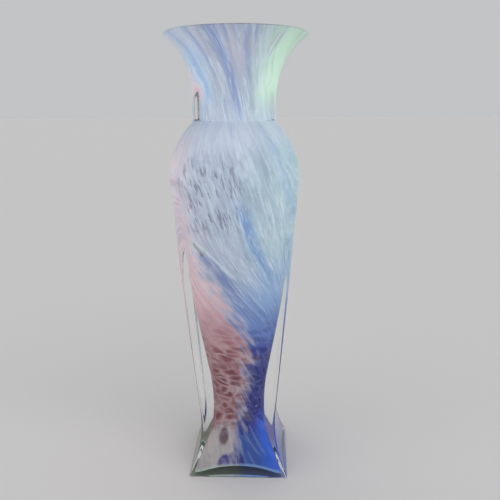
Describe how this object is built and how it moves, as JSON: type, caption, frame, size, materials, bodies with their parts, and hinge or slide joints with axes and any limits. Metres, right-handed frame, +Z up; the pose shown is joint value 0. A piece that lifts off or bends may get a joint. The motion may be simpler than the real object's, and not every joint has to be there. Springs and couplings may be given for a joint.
{
  "type": "vase",
  "caption": "Tall square vase of clear cased glass with round trumpet lip, rounded shoulders, flared square foot and a twisted coloured bubble spreading into its corners.",
  "frame": {"origin": "middle of the flat underside of the foot", "axes": "+Z up the vase's axis to the lip; the flat faces are square to X and Y; the front face looks towards -Y"},
  "size_m": [0.1036, 0.1036, 0.33],
  "materials": {
    "clear_glass": "fire-polished clear",
    "lining_glass": "fire-polished clear",
    "opal_glass": "opal white",
    "rose_glass": "mottled rose frit",
    "cobalt_glass": "mottled cobalt frit",
    "mint_glass": "streaked mint frit",
    "lavender_glass": "streaked lavender-blue frit"
  },
  "bodies": {
    "root": {"clear_casing": "clear_glass", "inner_lining": "lining_glass", "opal_ground": "opal_glass", "rose_frit": "rose_glass", "cobalt_frit": "cobalt_glass", "mint_frit": "mint_glass", "lavender_frit": "lavender_glass"}
  },
  "joints": []
}
